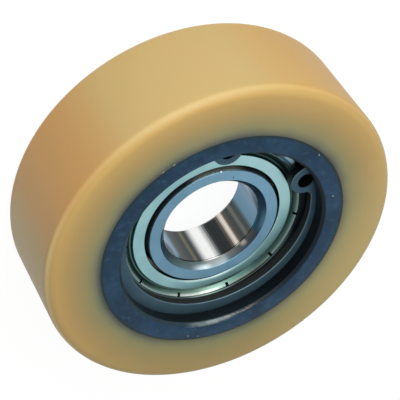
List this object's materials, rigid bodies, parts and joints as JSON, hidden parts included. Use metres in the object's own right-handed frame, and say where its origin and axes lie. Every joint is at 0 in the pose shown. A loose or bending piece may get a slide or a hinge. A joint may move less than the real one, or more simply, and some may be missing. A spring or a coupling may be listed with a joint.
{
  "type": "guide roller",
  "caption": "Guide roller with a cast amber tyre on a steel hub, running on a shielded ball bearing that a circlip holds in.",
  "frame": {"origin": "middle of the roller's width, on its axis", "axes": "+Z along the axis, towards the side with the circlip; -Y through the middle of the circlip's gap"},
  "size_m": [0.072, 0.072, 0.0226],
  "materials": {
    "tyre": "satin",
    "hub": "satin",
    "circlip": "satin",
    "ring": "polished",
    "shield": "satin",
    "cage": "satin",
    "ball": "polished"
  },
  "bodies": {
    "inner_ring": {"bearing_inner_ring": "ring"},
    "rim": {"tyre": "tyre", "hub": "hub", "circlip": "circlip", "bearing_outer_ring": "ring", "shield_front": "shield", "shield_back": "shield"},
    "cage": {"cage_front": "cage", "cage_back": "cage", "cage_rivets": "cage"},
    "rolling_ball_1": {"ball_1": "ball"},
    "rolling_ball_2": {"ball_2": "ball"},
    "rolling_ball_3": {"ball_3": "ball"},
    "rolling_ball_4": {"ball_4": "ball"},
    "rolling_ball_5": {"ball_5": "ball"},
    "rolling_ball_6": {"ball_6": "ball"},
    "rolling_ball_7": {"ball_7": "ball"},
    "rolling_ball_8": {"ball_8": "ball"},
    "rolling_ball_9": {"ball_9": "ball"}
  },
  "joints": [
    {"name": "roll", "type": "hinge", "parent": "inner_ring", "child": "rim", "pos_m": [0, 0, 0.00025], "axis": [0, 0, 1], "continuous": true},
    {"name": "cage_orbit", "type": "hinge", "parent": "inner_ring", "child": "cage", "pos_m": [0, 0, 0.00025], "axis": [0, 0, 1], "continuous": true},
    {"name": "ball_1_spin", "type": "hinge", "parent": "cage", "child": "rolling_ball_1", "pos_m": [0.0155, 0, 0.00025], "axis": [0, 0, 1], "continuous": true},
    {"name": "ball_2_spin", "type": "hinge", "parent": "cage", "child": "rolling_ball_2", "pos_m": [0.01187, 0.00996, 0.00025], "axis": [0, 0, 1], "continuous": true},
    {"name": "ball_3_spin", "type": "hinge", "parent": "cage", "child": "rolling_ball_3", "pos_m": [0.00269, 0.01526, 0.00025], "axis": [0, 0, 1], "continuous": true},
    {"name": "ball_4_spin", "type": "hinge", "parent": "cage", "child": "rolling_ball_4", "pos_m": [-0.00775, 0.01342, 0.00025], "axis": [0, 0, 1], "continuous": true},
    {"name": "ball_5_spin", "type": "hinge", "parent": "cage", "child": "rolling_ball_5", "pos_m": [-0.01457, 0.0053, 0.00025], "axis": [0, 0, 1], "continuous": true},
    {"name": "ball_6_spin", "type": "hinge", "parent": "cage", "child": "rolling_ball_6", "pos_m": [-0.01457, -0.0053, 0.00025], "axis": [0, 0, 1], "continuous": true},
    {"name": "ball_7_spin", "type": "hinge", "parent": "cage", "child": "rolling_ball_7", "pos_m": [-0.00775, -0.01342, 0.00025], "axis": [0, 0, 1], "continuous": true},
    {"name": "ball_8_spin", "type": "hinge", "parent": "cage", "child": "rolling_ball_8", "pos_m": [0.00269, -0.01526, 0.00025], "axis": [0, 0, 1], "continuous": true},
    {"name": "ball_9_spin", "type": "hinge", "parent": "cage", "child": "rolling_ball_9", "pos_m": [0.01187, -0.00996, 0.00025], "axis": [0, 0, 1], "continuous": true}
  ],
  "couplings": [
    {"joint": "cage_orbit", "follows": "roll", "ratio": 0.60242},
    {"joint": "ball_1_spin", "follows": "roll", "ratio": 2.3385},
    {"joint": "ball_2_spin", "follows": "roll", "ratio": 2.3385},
    {"joint": "ball_3_spin", "follows": "roll", "ratio": 2.3385},
    {"joint": "ball_4_spin", "follows": "roll", "ratio": 2.3385},
    {"joint": "ball_5_spin", "follows": "roll", "ratio": 2.3385},
    {"joint": "ball_6_spin", "follows": "roll", "ratio": 2.3385},
    {"joint": "ball_7_spin", "follows": "roll", "ratio": 2.3385},
    {"joint": "ball_8_spin", "follows": "roll", "ratio": 2.3385},
    {"joint": "ball_9_spin", "follows": "roll", "ratio": 2.3385}
  ]
}
